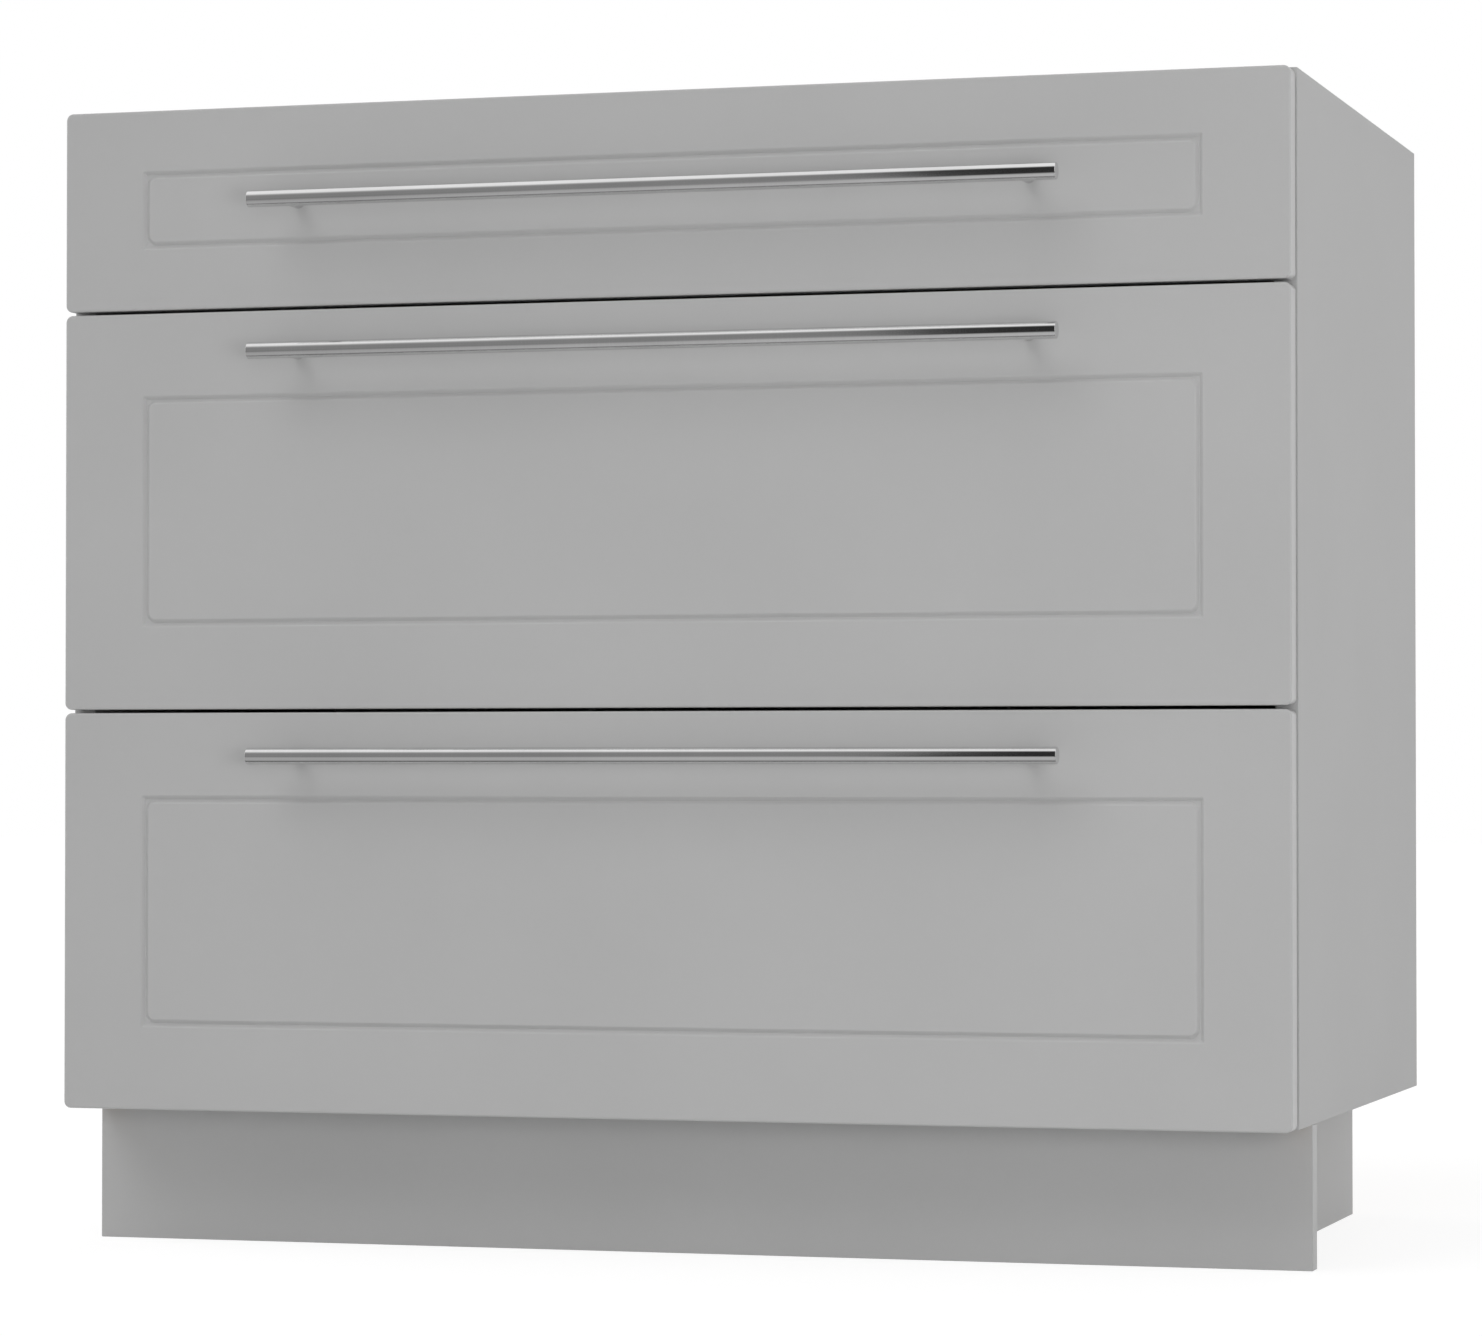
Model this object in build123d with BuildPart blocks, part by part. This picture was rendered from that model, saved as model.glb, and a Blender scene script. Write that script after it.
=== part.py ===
from build123d import *
from math import atan2, degrees
import os

# Base cabinet with three drawers, in millimetres.
# X runs to the right, Y back to the wall and Z up. The origin is on the floor,
# in the middle of the box round the whole cabinet, handles included.

os.makedirs("parts", exist_ok=True)

# ---------------------------------------------------------------- carcass
cabinet_width = 900.0
carcass_depth = 500.0
carcass_height = 720.0
board = 16.0  # coated chipboard
top_rail_width = 100.0
sheet = 3.2  # hardboard of the back and the drawer bottoms
sheet_groove_depth = 8.0
sheet_play = 0.4  # groove wider than its sheet
sheet_edge_play = 0.5  # sheet short of the floor of its groove
back_void = 16.0  # between the back panel and the wall
back_end_play = 1.0  # back panel short of the carcass at top and bottom
worktop_hole_radius = 2.5
worktop_hole_inset = 100.0  # from the inside of the side panels

# ---------------------------------------------------------------- base
base_height = 100.0
base_front_setback = 50.0
base_side_setback = 50.0
base_rear_setback = 50.0

# ---------------------------------------------------------------- drawer fronts
front_thickness = 18.0
front_side_reveal = 1.0
front_drop = 1.0  # fronts hang this much lower than the carcass
front_spacing = 3.0
top_front_height = 144.0
front_corner_radius = 5.0
front_face_radius = 3.0
groove_width = 6.0  # at the face of the front
groove_floor_width = 2.0
groove_depth = 2.5
floor_corner_radius = 0.5  # outer corners of the groove's floor
field_corner_radius = 4.0  # of the field inside the groove, at the face
stile_width = 63.0  # front's side edge to the middle of the groove
tall_rail_width = 62.0  # the same at top and bottom of the tall fronts
low_rail_width = 46.5  # the same on the low top front
bumper_height = 2.0
bumper_width = 8.0
bumper_inset = 40.0  # below the front's top edge

# ---------------------------------------------------------------- handles
bar_radius = 6.0
bar_length = 589.0
post_radius = 4.5
post_spacing = 536.0
post_seat = 3.0  # depth of the post's seat in the bar
handle_standoff = 30.0  # front face to the bar's axis
handle_top_distance = 31.0  # bar's axis below the top edge of a tall front
low_handle_top_distance = 70.0  # the same on the low top front
machine_screw_radius = 2.0
machine_screw_bite = 8.0  # in the post
machine_screw_head_radius = 4.0
machine_screw_head_height = 2.5
driver_hole_radius = 7.0  # through a box front that stands behind the screws
fit_play = 0.05  # round a screw or a post in its hole

# ---------------------------------------------------------------- drawer boxes
slide_space = 13.0  # between side panel and drawer box
box_floor_gap = 10.0  # over the bottom panel
box_head_gap = 10.0  # under the top rails
tall_box_height = 200.0
box_sheet_rise = 10.0  # bottom sheet above the lower edge of the box
box_rear_room = 15.0  # least room between the box and the back panel

# ---------------------------------------------------------------- telescopic slides
rail_step = 50.0  # slides are sold in lengths 50 mm apart
rail_setback = 2.0  # behind the carcass's front edge
rail_rise = 46.0  # slide's axis above the lower edge of the box
rail_sheet = 1.2
rail_bend = 1.2  # outer radius of the folds
rail_lip = 1.8
outer_rail_height = 45.0
ball_radius = 1.7
ball_play = 0.1
web_gap = 1.6  # between the webs of nested rails, for the ball cage
flange_end_gap = 1.6  # flanges short of the drawer box
cage_sheet = 0.8
cage_end_margin = 5.0
stop_width = 12.0
stop_play = 0.5

# ---------------------------------------------------------------- angle brackets
bracket_leg = 25.0
bracket_width = 18.0
bracket_sheet = 2.0
bracket_end_distance = 60.0
bracket_spread = 300.0

# ---------------------------------------------------------------- derived places
overall_depth = carcass_depth + bumper_height + front_thickness + handle_standoff + bar_radius
wall_y = overall_depth / 2
edge_y = wall_y - carcass_depth  # front edge of the carcass
front_back_y = edge_y - bumper_height
front_face_y = front_back_y - front_thickness
bar_y = front_face_y - handle_standoff
back_y = wall_y - back_void - sheet  # front face of the back panel

outside_x = cabinet_width / 2
inside_x = outside_x - board
floor_z = base_height
top_z = base_height + carcass_height

front_width = cabinet_width - 2 * front_side_reveal
fronts_z = top_z - front_drop
tall_front_height = (carcass_height - 2 * front_spacing - top_front_height) / 2
upper_z = fronts_z - top_front_height
middle_z = upper_z - front_spacing - tall_front_height
lower_z = middle_z - front_spacing - tall_front_height
front_z = {
    "upper": (upper_z, fronts_z),
    "middle": (middle_z, upper_z - front_spacing),
    "lower": (lower_z, middle_z - front_spacing),
}
groove_inset = {"upper": low_rail_width, "middle": tall_rail_width, "lower": tall_rail_width}
handle_z = {
    "upper": fronts_z - low_handle_top_distance,
    "middle": front_z["middle"][1] - handle_top_distance,
    "lower": front_z["lower"][1] - handle_top_distance,
}

box_lift = front_drop + board + box_floor_gap
box_x = inside_x - slide_space
box_inner_x = box_x - board
box_z = {
    "upper": (upper_z + box_lift, top_z - board - box_head_gap),
    "middle": (middle_z + box_lift, middle_z + box_lift + tall_box_height),
    "lower": (lower_z + box_lift, lower_z + box_lift + tall_box_height),
}
rail_room = back_y - edge_y - rail_setback - box_rear_room
rail_length = rail_step * int(rail_room / rail_step)
rail_y = edge_y + rail_setback  # front end of every rail
rail_end_y = rail_y + rail_length
box_end_y = rail_end_y

# ---------------------------------------------------------------- slide section
# Distances from the side panel (u) and from the slide's axis (v).
ball_gap = 2 * (ball_radius + ball_play)
centre_rail_height = outer_rail_height - 2 * (rail_sheet + ball_gap)
inner_rail_height = centre_rail_height - 2 * (rail_sheet + ball_gap)
centre_web = rail_sheet + web_gap
outer_cage_web = rail_sheet + (web_gap - cage_sheet) / 2
inner_cage_web = centre_web + rail_sheet + (web_gap - cage_sheet) / 2
inner_flange_end = centre_web + rail_sheet + web_gap
flange_end = slide_space - flange_end_gap
cage_end = flange_end - 2 * rail_sheet
outer_row = outer_rail_height - 2 * rail_sheet - ball_gap  # height over both rows' middles
inner_row = centre_rail_height - 2 * rail_sheet - ball_gap

drawers = ("upper", "middle", "lower")


def lengthwise(x):
    """Upright plane along the cabinet's depth; its sketch lies in Y and Z."""
    return Plane.YZ.offset(x)


def across(y):
    """Upright plane across the cabinet; its sketch lies in X and Z."""
    return Plane.XZ.offset(-y)


def level(z):
    """Level plane; its sketch lies in X and Y."""
    return Plane.XY.offset(z)


def rectangle(plane, u0, u1, v0, v1):
    """Rectangle between two corners of a plane."""
    with BuildSketch(plane) as filled:
        with Locations(((u0 + u1) / 2, (v0 + v1) / 2)):
            Rectangle(u1 - u0, v1 - v0)
    return filled.sketch


def facing(direction, points):
    """Places at the points whose outward direction is given."""
    return [Plane(origin=point, z_dir=direction).location for point in points]


def save(built, name):
    """Label a finished piece and write its STEP file."""
    built.part.label = name
    export_step(built.part, f"parts/{name}.step")


def save_mirrored(built, name):
    """The left-hand twin of a right-hand piece."""
    with BuildPart() as twin:
        mirror(built.part, about=Plane.YZ)
    save(twin, name)


# ---------------------------------------------------------------- side panels
with BuildPart() as side_panel:
    extrude(rectangle(lengthwise(inside_x), edge_y, wall_y, floor_z, top_z), amount=board)
    groove_end = back_y + sheet + sheet_play
    extrude(rectangle(lengthwise(inside_x), back_y, groove_end, floor_z, top_z),
            amount=sheet_groove_depth, mode=Mode.SUBTRACT)
save(side_panel, "side_panel_right")
save_mirrored(side_panel, "side_panel_left")


# ---------------------------------------------------------------- level boards
with BuildPart() as bottom_panel:
    extrude(rectangle(level(floor_z), -inside_x, inside_x, edge_y, back_y), amount=board)
save(bottom_panel, "bottom_panel")


def top_rail(y0):
    """Rail under the worktop, with the holes of the screws that hold the worktop."""
    y1 = y0 + top_rail_width
    hole_x = inside_x - worktop_hole_inset
    with BuildPart() as rail:
        extrude(rectangle(level(top_z - board), -inside_x, inside_x, y0, y1), amount=board)
        with Locations(*[(side * hole_x, (y0 + y1) / 2, top_z) for side in (-1, 1)]):
            Hole(worktop_hole_radius, depth=board)
    return rail


save(top_rail(edge_y), "top_rail_front")
save(top_rail(back_y - top_rail_width), "top_rail_rear")

with BuildPart() as back_panel:
    half_width = inside_x + sheet_groove_depth - sheet_edge_play
    extrude(rectangle(across(back_y), -half_width, half_width,
                      floor_z + back_end_play, top_z - back_end_play), amount=-sheet)
save(back_panel, "back_panel")

# ---------------------------------------------------------------- base boards
plinth_y = edge_y + base_front_setback
plinth_back_y = plinth_y + board
base_side_x = outside_x - base_side_setback - board  # inside of the base's side
base_rear_y = wall_y - base_rear_setback - board  # front of the base's rear rail

with BuildPart() as plinth_board:
    extrude(rectangle(across(plinth_y), -outside_x, outside_x, 0, base_height), amount=-board)
save(plinth_board, "plinth_board")

with BuildPart() as base_side:
    extrude(rectangle(lengthwise(base_side_x), plinth_back_y, wall_y, 0, base_height),
            amount=board)
save(base_side, "base_side_right")
save_mirrored(base_side, "base_side_left")

with BuildPart() as base_rear_rail:
    extrude(rectangle(across(base_rear_y), -base_side_x, base_side_x, 0, base_height),
            amount=-board)
save(base_rear_rail, "base_rear_rail")


# ---------------------------------------------------------------- angle brackets
def corner_place(point, normal):
    """Inside corner under the bottom panel: local Z leaves the board, local Y is up."""
    return Plane(origin=point, x_dir=Vector(0, 0, 1).cross(Vector(normal)), z_dir=normal).location


with BuildPart() as bracket:
    with BuildSketch(Plane.YZ.offset(-bracket_width / 2)):
        with BuildLine():
            Polyline((0, 0), (-bracket_leg, 0), (-bracket_leg, bracket_sheet),
                     (-bracket_sheet, bracket_sheet), (-bracket_sheet, bracket_leg),
                     (0, bracket_leg), (0, 0))
        make_face()
    extrude(amount=bracket_width)

bracket_places = [
    corner_place((base_side_x, plinth_back_y + bracket_end_distance, floor_z), (-1, 0, 0)),
    corner_place((base_side_x, base_rear_y - bracket_end_distance, floor_z), (-1, 0, 0)),
    corner_place((bracket_spread, plinth_back_y, floor_z), (0, 1, 0)),
    corner_place((bracket_spread, base_rear_y, floor_z), (0, -1, 0)),
]
with BuildPart() as corner_brackets:
    with Locations(*bracket_places):
        add(bracket.part)
    mirror(about=Plane.YZ)
save(corner_brackets, "corner_brackets")

# ---------------------------------------------------------------- bumpers
with BuildPart() as bumpers:
    for drawer in drawers:
        for side in (-1, 1):
            x = side * (outside_x - board / 2) - bumper_width / 2
            z = front_z[drawer][1] - bumper_inset - bumper_width
            extrude(rectangle(across(edge_y), x, x + bumper_width, z, z + bumper_width),
                    amount=bumper_height)
save(bumpers, "bumpers")


# ---------------------------------------------------------------- telescopic slides
def channel(drawer, web, end, height, gauge, bend, lip, y0, y1):
    """Right-hand channel: web's middle and flange ends as distances from the side panel."""
    z = box_z[drawer][0] + rail_rise
    half = (height - gauge) / 2
    upper = [(web, half), (end, half)]
    if lip:
        upper = [(web, half), (end - gauge / 2, half), (end - gauge / 2, half - lip)]
    points = [(inside_x - u, z + v) for u, v in reversed(upper)]
    points += [(inside_x - u, z - v) for u, v in upper]
    with BuildSketch(across(y0)) as section:
        with BuildLine():
            Polyline(*points)
        trace(line_width=gauge)
        if bend:
            web_side = -1 if web < end else 0
            fillet(section.vertices().group_by(Axis.X)[web_side], bend)
    extrude(section.sketch, amount=y0 - y1)


rail_stop_y = rail_end_y - rail_sheet
short_rail_end_y = rail_stop_y - stop_play
cage_length = rail_length / 2 - 2 * cage_end_margin
cage_y = rail_y + (rail_length - cage_length) / 2

for drawer in drawers:
    slide_z = box_z[drawer][0] + rail_rise

    with BuildPart() as outer_rails:
        channel(drawer, rail_sheet / 2, flange_end, outer_rail_height, rail_sheet, rail_bend,
                rail_lip, rail_y, rail_end_y)
        stop = rectangle(across(rail_stop_y), inside_x - cage_end, inside_x - rail_sheet,
                         slide_z - stop_width / 2, slide_z + stop_width / 2)
        extrude(stop, amount=-rail_sheet)
        mirror(about=Plane.YZ)
    save(outer_rails, f"outer_rails_{drawer}")

    with BuildPart() as centre_rails:
        channel(drawer, centre_web + rail_sheet / 2, flange_end, centre_rail_height, rail_sheet,
                rail_bend, rail_lip, rail_y, short_rail_end_y)
        mirror(about=Plane.YZ)
    save(centre_rails, f"centre_rails_{drawer}")

    with BuildPart() as inner_rails:
        channel(drawer, slide_space - rail_sheet / 2, inner_flange_end, inner_rail_height,
                rail_sheet, rail_bend, 0, rail_y, short_rail_end_y)
        mirror(about=Plane.YZ)
    save(inner_rails, f"inner_rails_{drawer}")

    with BuildPart() as outer_cages:
        channel(drawer, outer_cage_web + cage_sheet / 2, cage_end, outer_row + cage_sheet,
                cage_sheet, 0, 0, cage_y, cage_y + cage_length)
        mirror(about=Plane.YZ)
    save(outer_cages, f"outer_ball_cages_{drawer}")

    with BuildPart() as inner_cages:
        channel(drawer, inner_cage_web + cage_sheet / 2, cage_end, inner_row + cage_sheet,
                cage_sheet, 0, 0, cage_y, cage_y + cage_length)
        mirror(about=Plane.YZ)
    save(inner_cages, f"inner_ball_cages_{drawer}")


# ---------------------------------------------------------------- drawer fronts
groove_wall_run = (groove_width - groove_floor_width) / 2
groove_wall_angle = degrees(atan2(groove_wall_run, groove_depth))


def handle_screw_places(drawer):
    """Screws of the handle posts, heads on the back of the drawer front."""
    points = [(x, front_back_y, handle_z[drawer]) for x in (-post_spacing / 2, post_spacing / 2)]
    return facing((0, 1, 0), points)


def inset_outline(drawer, side_inset, edge_inset, radius, mode=Mode.ADD):
    """Rounded outline in the open sketch, inset from the edges of a drawer front."""
    low, high = front_z[drawer]
    with Locations((0, (low + high) / 2)):
        RectangleRounded(front_width - 2 * side_inset, high - low - 2 * edge_inset, radius,
                         mode=mode)


def front_outline(drawer):
    """Outline of a drawer front, in its face."""
    with BuildSketch(across(front_face_y)) as outline:
        inset_outline(drawer, 0, 0, front_corner_radius)
    return outline.sketch


def frame_line(drawer):
    """Mouth of the routed groove that draws a frame round the front's field."""
    half = groove_width / 2
    inset = groove_inset[drawer]
    with BuildSketch(across(front_face_y)) as line:
        inset_outline(drawer, stile_width - half, inset - half,
                      floor_corner_radius + groove_wall_run)
        inset_outline(drawer, stile_width + half, inset + half, field_corner_radius,
                      Mode.SUBTRACT)
    return line.sketch


def make_front(drawer):
    """Front with its rounded face edge, routed frame line and handle holes."""
    with BuildPart() as front:
        extrude(front_outline(drawer), amount=-front_thickness)
        fillet(front.faces().sort_by(Axis.Y)[0].edges(), front_face_radius)
        extrude(frame_line(drawer), amount=-groove_depth, taper=groove_wall_angle,
                mode=Mode.SUBTRACT)
        with Locations(*handle_screw_places(drawer)):
            Hole(machine_screw_radius + fit_play, depth=front_thickness)
    return front


# ---------------------------------------------------------------- handles
def make_bar(drawer):
    """Round bar with a flat-bottomed seat for each post."""
    with BuildPart() as bar:
        with BuildSketch(lengthwise(-bar_length / 2)):
            with Locations((bar_y, handle_z[drawer])):
                Circle(bar_radius)
        extrude(amount=bar_length)
        seats = [(x, bar_y + bar_radius, handle_z[drawer])
                 for x in (-post_spacing / 2, post_spacing / 2)]
        with Locations(*facing((0, 1, 0), seats)):
            Hole(post_radius + fit_play, depth=post_seat)
    return bar


def make_posts(drawer):
    """Two posts between the bar's seats and the drawer front, threaded for their screws."""
    post_length = handle_standoff - bar_radius + post_seat
    feet = [(x, front_face_y, handle_z[drawer]) for x in (-post_spacing / 2, post_spacing / 2)]
    with BuildPart() as posts:
        with Locations(*facing((0, -1, 0), feet)):
            Cylinder(post_radius, post_length, align=(Align.CENTER, Align.CENTER, Align.MIN))
        with Locations(*facing((0, 1, 0), feet)):
            Hole(machine_screw_radius + fit_play, depth=machine_screw_bite)
    return posts


def make_handle_screws(drawer):
    """Machine screws of the handle: low heads, and shanks through the front into the posts."""
    length = front_thickness + machine_screw_bite
    with BuildPart() as screws:
        with Locations(*handle_screw_places(drawer)):
            Cylinder(machine_screw_radius, length, align=(Align.CENTER, Align.CENTER, Align.MAX))
            Cylinder(machine_screw_head_radius, machine_screw_head_height,
                     align=(Align.CENTER, Align.CENTER, Align.MIN))
    return screws


# ---------------------------------------------------------------- drawer boxes
def sheet_groove_z(drawer):
    """Lower and upper wall of the groove for the drawer's bottom."""
    low = box_z[drawer][0] + box_sheet_rise
    return low, low + sheet + sheet_play


def make_box_side(drawer):
    """Right side of the box, grooved for the bottom."""
    with BuildPart() as side:
        extrude(rectangle(lengthwise(box_inner_x), front_back_y, box_end_y, *box_z[drawer]),
                amount=board)
        extrude(rectangle(lengthwise(box_inner_x), front_back_y, box_end_y,
                          *sheet_groove_z(drawer)),
                amount=sheet_groove_depth, mode=Mode.SUBTRACT)
    return side


def make_box_end(drawer, y, groove_y):
    """Box front or box back, with its groove for the bottom."""
    with BuildPart() as end:
        extrude(rectangle(across(y), -box_inner_x, box_inner_x, *box_z[drawer]), amount=-board)
        extrude(rectangle(across(groove_y), -box_inner_x, box_inner_x, *sheet_groove_z(drawer)),
                amount=-sheet_groove_depth, mode=Mode.SUBTRACT)
    return end


def make_box_front(drawer):
    """Box front, with a way through for the screwdriver where it stands behind the handle."""
    plain = make_box_end(drawer, front_back_y, front_back_y + board - sheet_groove_depth)
    with BuildPart() as end:
        add(plain.part)
        if handle_z[drawer] - driver_hole_radius < box_z[drawer][1]:
            with Locations(*handle_screw_places(drawer)):
                Hole(driver_hole_radius, depth=board)
    return end


def make_box_bottom(drawer):
    """Bottom sheet, held in the grooves of all four walls."""
    reach = sheet_groove_depth - sheet_edge_play
    low = sheet_groove_z(drawer)[0]
    with BuildPart() as bottom:
        extrude(rectangle(level(low), -box_inner_x - reach, box_inner_x + reach,
                          front_back_y + board - reach, box_end_y - board + reach),
                amount=sheet)
    return bottom


for drawer in drawers:
    save(make_front(drawer), f"drawer_front_{drawer}")
    save(make_bar(drawer), f"handle_bar_{drawer}")
    save(make_posts(drawer), f"handle_posts_{drawer}")
    save(make_handle_screws(drawer), f"handle_screws_{drawer}")
    box_side = make_box_side(drawer)
    save(box_side, f"box_side_right_{drawer}")
    save_mirrored(box_side, f"box_side_left_{drawer}")
    save(make_box_front(drawer), f"box_front_{drawer}")
    save(make_box_end(drawer, box_end_y - board, box_end_y - board), f"box_back_{drawer}")
    save(make_box_bottom(drawer), f"box_bottom_{drawer}")
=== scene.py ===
import math

import bmesh
import bpy
from mathutils import Matrix, Vector


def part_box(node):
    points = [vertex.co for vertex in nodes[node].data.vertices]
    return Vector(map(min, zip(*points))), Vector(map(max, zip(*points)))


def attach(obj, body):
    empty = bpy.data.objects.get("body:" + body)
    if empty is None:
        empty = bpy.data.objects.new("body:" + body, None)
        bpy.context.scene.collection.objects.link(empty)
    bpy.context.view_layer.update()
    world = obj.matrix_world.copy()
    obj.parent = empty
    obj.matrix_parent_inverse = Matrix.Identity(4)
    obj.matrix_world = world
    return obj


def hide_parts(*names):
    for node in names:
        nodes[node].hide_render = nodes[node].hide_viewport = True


# Looks of a grey base cabinet with three drawers. Metres, X right, Y back, Z up.
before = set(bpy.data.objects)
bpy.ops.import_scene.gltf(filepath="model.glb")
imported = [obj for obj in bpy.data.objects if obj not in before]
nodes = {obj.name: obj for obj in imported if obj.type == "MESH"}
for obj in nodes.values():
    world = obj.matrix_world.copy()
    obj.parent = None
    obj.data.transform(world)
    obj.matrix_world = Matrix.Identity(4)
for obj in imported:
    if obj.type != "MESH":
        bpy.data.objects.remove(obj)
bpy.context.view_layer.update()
collection = bpy.context.scene.collection

MM = 0.001
DRAWERS = ("upper", "middle", "lower")
SIDES = (-1, 1)


# ---------------------------------------------------------------- camera
CAMERA_PLACE = (1.06525, -3.5855, 0.3423)
CAMERA_TURN = 16.699  # degrees to the left of straight ahead
CAMERA_RISE = 1.177  # degrees above the horizon
FOCAL_PIXELS = 5023.95
IMAGE_WIDTH = 1482
SENSOR_WIDTH = 36.0

camera_data = bpy.data.cameras.new("camera")
camera_data.sensor_fit = "HORIZONTAL"
camera_data.sensor_width = SENSOR_WIDTH
camera_data.lens = FOCAL_PIXELS / IMAGE_WIDTH * SENSOR_WIDTH
camera = bpy.data.objects.new("camera", camera_data)
camera.location = CAMERA_PLACE
camera.rotation_euler = (math.radians(90 + CAMERA_RISE), 0, math.radians(CAMERA_TURN))
collection.objects.link(camera)
bpy.context.scene.camera = camera


# ---------------------------------------------------------------- materials
def linear(level):
    """Linear value of an 8-bit display level."""
    share = level / 255
    return share / 12.92 if share <= 0.04045 else ((share + 0.055) / 1.055) ** 2.4


def colour(red, green=None, blue=None):
    """Linear colour of 8-bit display levels; one level alone is a grey."""
    levels = (red, red if green is None else green, red if blue is None else blue)
    return (*[linear(level) for level in levels], 1.0)


class Tree:
    """Nodes of a material or a world."""

    def __init__(self, owner):
        owner.use_nodes = True
        self.tree = owner.node_tree
        self.tree.nodes.clear()

    def node(self, kind, inputs=(), **settings):
        """New node with its settings, and its inputs as values or as links."""
        made = self.tree.nodes.new(kind)
        for name, value in settings.items():
            setattr(made, name, value)
        for socket, value in dict(inputs).items():
            if isinstance(value, bpy.types.NodeSocket):
                self.tree.links.new(value, made.inputs[socket])
            else:
                made.inputs[socket].default_value = value
        return made

    def combined(self, kind, first, second):
        """Result of a Math node."""
        return self.node("ShaderNodeMath", {0: first, 1: second}, operation=kind).outputs[0]

    def between(self, factor, low, high):
        """A number that goes from low to high with the factor."""
        inputs = {"Value": factor, "To Min": low, "To Max": high}
        return self.node("ShaderNodeMapRange", inputs).outputs["Result"]

    def span(self, value, start, end, low, high):
        """Smooth step of a value between two places."""
        inputs = {"Value": value, "From Min": start, "From Max": end, "To Min": low, "To Max": high}
        return self.node("ShaderNodeMapRange", inputs, interpolation_type="SMOOTHSTEP").outputs["Result"]


class Finish(Tree):
    """A material on one Principled shader, and the nodes that feed it."""

    def __init__(self, name, **values):
        self.material = bpy.data.materials.new(name)
        super().__init__(self.material)
        self.shader = self.node("ShaderNodeBsdfPrincipled")
        self.node("ShaderNodeOutputMaterial", {"Surface": self.shader.outputs["BSDF"]})
        for socket, value in values.items():
            self.shader.inputs[socket.replace("_", " ")].default_value = value
        self.place = self.node("ShaderNodeTexCoord").outputs["Object"]

    def noise(self, scale, detail=2.0, stretch=(1, 1, 1), roughness=0.5):
        """Noise of so many features a metre, from 0 to 1."""
        vector = self.node("ShaderNodeMapping", {"Vector": self.place, "Scale": stretch}).outputs[0]
        inputs = {"Vector": vector, "Scale": scale, "Detail": detail, "Roughness": roughness}
        return self.node("ShaderNodeTexNoise", inputs).outputs["Fac"]

    def cells(self, scale):
        """Voronoi cells, so many a metre, each with its own colour."""
        inputs = {"Vector": self.place, "Scale": scale}
        return self.node("ShaderNodeTexVoronoi", inputs).outputs["Color"]

    def blended(self, first, second, share):
        """Sum of two patterns, the first with the given share."""
        return self.combined("ADD", self.combined("MULTIPLY", first, share),
                             self.combined("MULTIPLY", second, 1 - share))

    def ramp(self, factor, *stops):
        """Colours at their places between 0 and 1."""
        made = self.node("ShaderNodeValToRGB", {"Fac": factor})
        elements = made.color_ramp.elements
        for place, value in stops[1:-1]:
            elements.new(place).color = value
        elements[0].position, elements[0].color = stops[0]
        elements[-1].position, elements[-1].color = stops[-1]
        return made.outputs["Color"]

    def paint(self, socket, value):
        """Link a result to the shader."""
        self.tree.links.new(value, self.shader.inputs[socket])

    def relief(self, height, depth, strength=1.0):
        """Bump of so many metres."""
        inputs = {"Height": height, "Distance": depth, "Strength": strength}
        self.paint("Normal", self.node("ShaderNodeBump", inputs).outputs["Normal"])


COAT_SPREAD = 2  # levels that a coating varies by, either way
METAL_SPREAD = 6


def coated(name, level, grain=1300.0, depth=0.00004, gloss=(0.42, 0.54), shine=0.35):
    """Matt grey coating: faint clouds and a fine pearl grain."""
    finish = Finish(name, Specular_IOR_Level=shine)
    clouds = finish.noise(5.0, detail=3.0)
    pearl = finish.noise(grain, detail=2.0)
    tone = finish.blended(clouds, pearl, 0.7)
    stops = ((0.3, colour(level - COAT_SPREAD)), (0.7, colour(level + COAT_SPREAD)))
    finish.paint("Base Color", finish.ramp(tone, *stops))
    finish.paint("Roughness", finish.between(pearl, *gloss))
    finish.relief(pearl, depth, 0.6)
    return finish.material


def chipboard(name):
    """Sawn edge of chipboard: pressed chips, with pits between them."""
    finish = Finish(name, Specular_IOR_Level=0.2)
    chips = finish.cells(340.0)
    crumbs = finish.noise(900.0, detail=4.0)
    tone = finish.blended(chips, crumbs, 0.55)
    stops = ((0.2, colour(134, 104, 70)), (0.45, colour(170, 137, 98)), (0.75, colour(198, 168, 128)))
    finish.paint("Base Color", finish.ramp(tone, *stops))
    finish.paint("Roughness", finish.between(crumbs, 0.75, 0.95))
    finish.relief(tone, 0.0004)
    return finish.material


def fibreboard(name):
    """Brown rear of hardboard, with the imprint of the press's wire screen."""
    finish = Finish(name, Specular_IOR_Level=0.25)
    fibres = finish.noise(160.0, detail=6.0, roughness=0.65)
    flecks = finish.noise(1400.0, detail=2.0)
    tone = finish.blended(fibres, flecks, 0.7)
    stops = ((0.3, colour(96, 66, 42)), (0.55, colour(122, 86, 56)), (0.75, colour(146, 108, 72)))
    finish.paint("Base Color", finish.ramp(tone, *stops))
    finish.paint("Roughness", finish.between(flecks, 0.7, 0.9))
    screen = None
    inputs = {"Vector": finish.place, "Scale": 90.0, "Distortion": 0.3}
    for axis in ("X", "Y", "Z"):
        wave = finish.node("ShaderNodeTexWave", inputs, bands_direction=axis).outputs["Fac"]
        screen = wave if screen is None else finish.combined("MULTIPLY", screen, wave)
    finish.relief(finish.combined("ADD", screen, flecks), 0.0002, 0.7)
    return finish.material


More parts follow.
